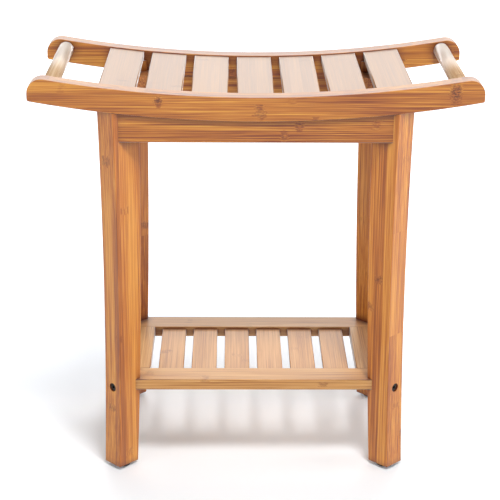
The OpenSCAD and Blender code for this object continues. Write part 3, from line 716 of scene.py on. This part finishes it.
# A pale bluish metal, mottled by its plating, drawn 1.5 mm wide
place = add(tree, "TexCoord").outputs["Object"]
mottle = add(tree, "TexNoise", inputs={"Vector": place, "Scale": 650.0, "Detail": 3.0})
tint = add(tree, "ValToRGB", inputs={"Fac": mottle.outputs["Fac"]})
set_stops(tint, (0, linear("#a9adb0")), (1, linear("#d3d6d6")))
tree.links.new(tint.outputs["Color"], shader.inputs["Base Color"])
shader.inputs["Metallic"].default_value = 1.0
polish = add(tree, "MapRange", inputs={"Value": mottle.outputs["Fac"], "To Min": 0.22, "To Max": 0.42})
tree.links.new(polish.outputs[0], shader.inputs["Roughness"])

brass, tree, shader = start_material("turned brass insert")
# A yellow metal with a slightly tarnished, uneven polish, drawn 1.5 mm wide
place = add(tree, "TexCoord").outputs["Object"]
tarnish = add(tree, "TexNoise", inputs={"Vector": place, "Scale": 650.0, "Detail": 2.0})
tint = add(tree, "ValToRGB", inputs={"Fac": tarnish.outputs["Fac"]})
set_stops(tint, (0, linear("#a5813c")), (1, linear("#dcb765")))
tree.links.new(tint.outputs["Color"], shader.inputs["Base Color"])
shader.inputs["Metallic"].default_value = 1.0
shader.inputs["Roughness"].default_value = 0.32

pin_wood, tree, shader = start_material("beech dowel")
# Pale pinkish wood with short flecks along the upright pins, drawn 0.7 mm wide and 6 mm long
place = add(tree, "TexCoord").outputs["Object"]
stretch = add(tree, "Mapping", inputs={"Vector": place, "Scale": (1400, 1400, 160)})
fleck = add(tree, "TexNoise", inputs={"Vector": stretch.outputs["Vector"], "Scale": 1.0, "Detail": 2.0})
tint = add(tree, "ValToRGB", inputs={"Fac": fleck.outputs["Fac"]})
set_stops(tint, (0, linear("#b98a5e")), (1, linear("#dcb68c")))
tree.links.new(tint.outputs["Color"], shader.inputs["Base Color"])
shader.inputs["Roughness"].default_value = 0.6

for finish, nodes in ((black_oxide, ("leg_bolts",)),
                      (zinc_plate, ("leg_washers", "block_screws", "foot_nails")),
                      (brass, ("leg_inserts", "shelf_inserts")),
                      (pin_wood, ("dowel_pins",))):
    for node in nodes:
        refinish(node, finish)

# ------------------------------------------------------------------ floor, light and camera
# A plain near-white sweep that glows with painted light of its own. Soft boxes stand high in
# front, low in front and at both sides, a long one behind the stool lays a sheen along the tops of
# the boards, and one hangs over the sweep farther back.
sweep_half = 12                  # metres, far enough to reach past the camera's view
glow_middle = (0, -0.45, 0)      # where the sweep glows least
glow_reach = 4.0                 # metres from there to its full glow
floor_mesh = bpy.data.meshes.new("studio_floor")
bm = bmesh.new()
bmesh.ops.create_grid(bm, x_segments=1, y_segments=1, size=sweep_half)
bm.to_mesh(floor_mesh)
bm.free()
floor = bpy.data.objects.new("studio_floor", floor_mesh)
bpy.context.scene.collection.objects.link(floor)
painted_glow_sweep, tree, shader = start_material("white sweep with painted glow")
shader.inputs["Base Color"].default_value = linear("#ebeef1")
shader.inputs["Emission Color"].default_value = linear("#edf5ff")
# Painted light: the sweep glows by itself, weakly under the stool and more and more strongly away
# from it, so that the stool's shadow is washed out behind it and the sweep stays white into the distance
place = add(tree, "TexCoord").outputs["Object"]
away = add(tree, "VectorMath", {"operation": "DISTANCE"}, {0: place, 1: glow_middle})
reach = add(tree, "MapRange", inputs={"Value": away.outputs["Value"], "From Min": 0.0,
                                      "From Max": glow_reach})
glow = add(tree, "ValToRGB", inputs={"Fac": reach.outputs[0]})
set_stops(glow, (0.125, (0.08, 0.08, 0.08, 1)), (0.19, (0.4, 0.4, 0.4, 1)), (1, (0.85, 0.85, 0.85, 1)))
tree.links.new(glow.outputs["Color"], shader.inputs["Emission Strength"])
floor_mesh.materials.append(painted_glow_sweep)

world = bpy.data.worlds.new("studio")
world.use_nodes = True
tree = world.node_tree
background = tree.nodes["Background"]
background.inputs["Color"].default_value = linear("#ffffff")
# White studio walls, brightest near the floor, under a dim ceiling
place = add(tree, "TexCoord").outputs["Generated"]
up = add(tree, "SeparateXYZ", inputs={"Vector": place})
wall = add(tree, "MapRange", {"interpolation_type": "SMOOTHSTEP"},
           {"Value": up.outputs["Z"], "From Min": 0.15, "From Max": 0.45, "To Min": 0.62,
            "To Max": 0.1})
tree.links.new(wall.outputs[0], background.inputs["Strength"])
bpy.context.scene.world = world
bpy.context.scene.view_settings.view_transform = "Standard"

for name, place, aim, size, watts in (
    ("key_box", (0.35, -1.1, 2.2), (0, 0, 0.25), (0.6, 0.5), 42),
    ("left_box", (-1.9, -1.6, 1.4), (0, 0, 0.25), (1.3, 1.3), 14),
    ("right_box", (2.2, -0.3, 0.8), (0, 0, 0.3), (1.2, 1.0), 19),
    ("rear_box", (0.1, 2.7, 1.45), (0, 0, 0.45), (3.2, 1.5), 27),
    ("front_box", (0.2, -2.9, 0.8), (0, 0, 0.25), (1.8, 0.8), 7),
    ("sweep_box", (0, 2.6, 2.6), (0, 2.6, 0), (4.0, 1.8), 54),
):
    light = bpy.data.lights.new(name, "AREA")
    light.shape = "RECTANGLE"
    light.size, light.size_y = size
    light.energy = watts
    lamp = bpy.data.objects.new(name, light)
    lamp.location = place
    lamp.rotation_euler = (Vector(aim) - Vector(place)).to_track_quat("-Z", "Y").to_euler()
    lamp.visible_camera = False
    bpy.context.scene.collection.objects.link(lamp)

# A long lens a little above the seat, almost square to the front
camera = bpy.data.cameras.new("camera")
camera.lens = 113.93
camera.sensor_width = 36
camera.clip_end = 60
eye = bpy.data.objects.new("camera", camera)
bpy.context.scene.collection.objects.link(eye)
eye_place = (-0.0265, -1.7929, 0.8732)
eye_swing = math.radians(-0.709)            # to the right of straight ahead
eye_pitch = math.radians(90 - 19.585)       # a camera's own axis looks straight down
eye_roll = math.radians(0.350)
eye.matrix_world = (Matrix.Translation(eye_place) @ Matrix.Rotation(eye_swing, 4, "Z")
                    @ Matrix.Rotation(eye_pitch, 4, "X") @ Matrix.Rotation(eye_roll, 4, "Z"))
bpy.context.scene.camera = eye
